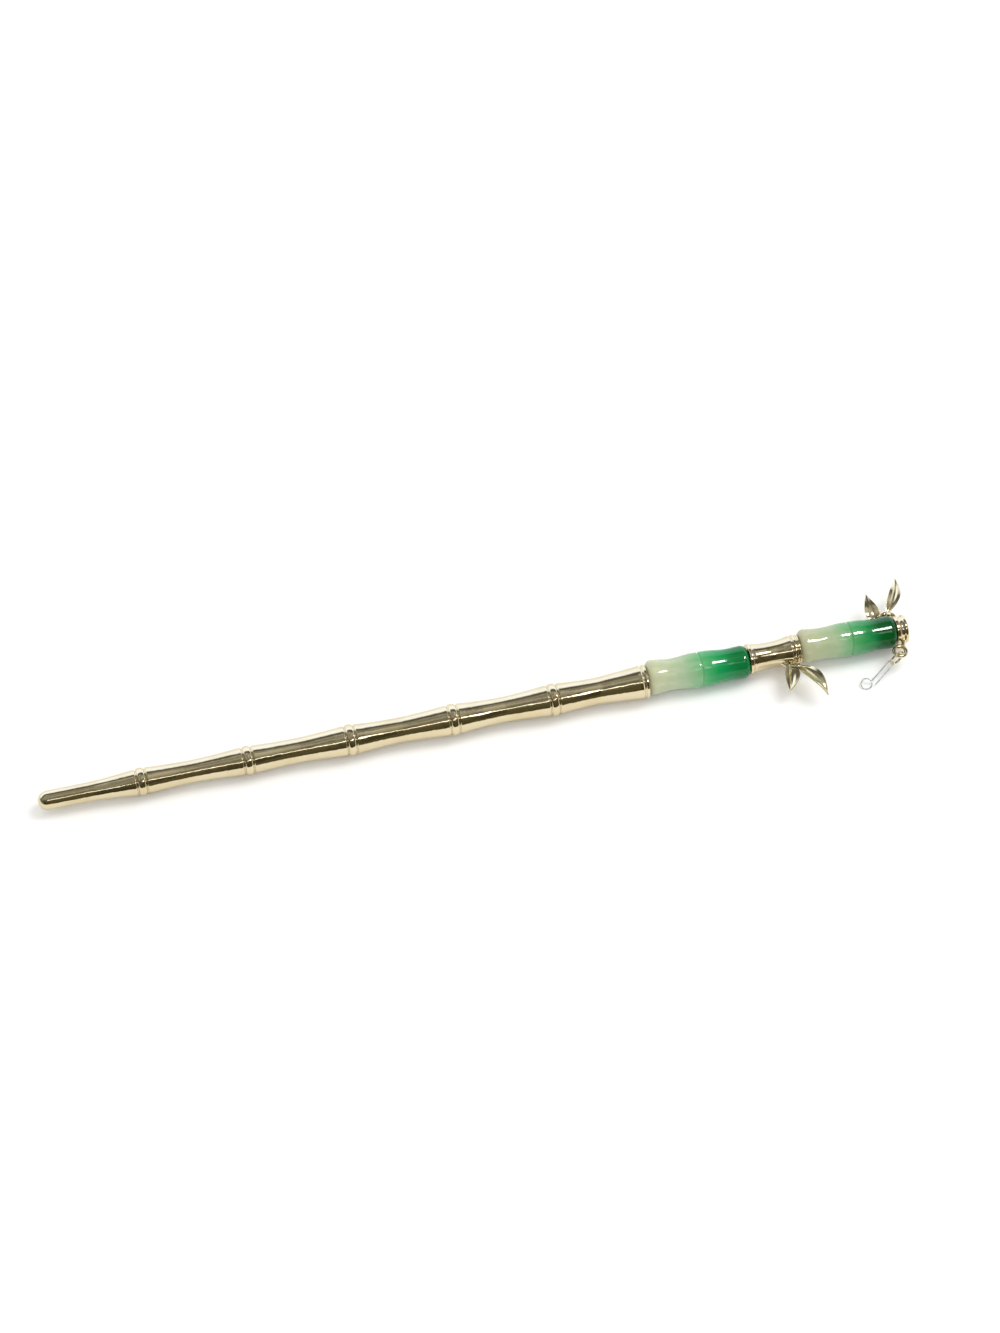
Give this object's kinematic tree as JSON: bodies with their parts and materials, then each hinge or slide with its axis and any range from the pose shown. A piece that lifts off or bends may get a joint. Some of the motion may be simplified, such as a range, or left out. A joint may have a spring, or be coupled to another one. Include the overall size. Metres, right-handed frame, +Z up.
{
  "type": "hair stick",
  "caption": "Slender hair stick in the form of a bamboo cane: tapered metal stem, stone-coloured beads, leaf sprigs and a wire hook for a tassel at its head.",
  "frame": {"origin": "bottom centre of the bounding box, on the surface the stick lies on", "axes": "+X from the tip of the stem towards the end cap, +Y towards the side of the cap's leaves, +Z up from the surface"},
  "size_m": [0.1814, 0.0246, 0.0075],
  "materials": {
    "gold": "pale champagne-gold plating, polished to a mirror",
    "jade_lower": "polished translucent stone, pale green at the tip side and emerald at the head side",
    "jade_upper": "polished translucent stone, pale green at the tip side and dark green at the head side",
    "pin_steel": "plain drawn steel",
    "silver": "bright silver-coloured wire"
  },
  "bodies": {
    "root": {"stem": "gold", "lower_bead": "jade_lower", "middle_link": "gold", "upper_bead": "jade_upper", "end_cap": "gold", "core_pin": "pin_steel", "jump_ring": "gold", "tassel_hook": "silver"}
  },
  "joints": []
}
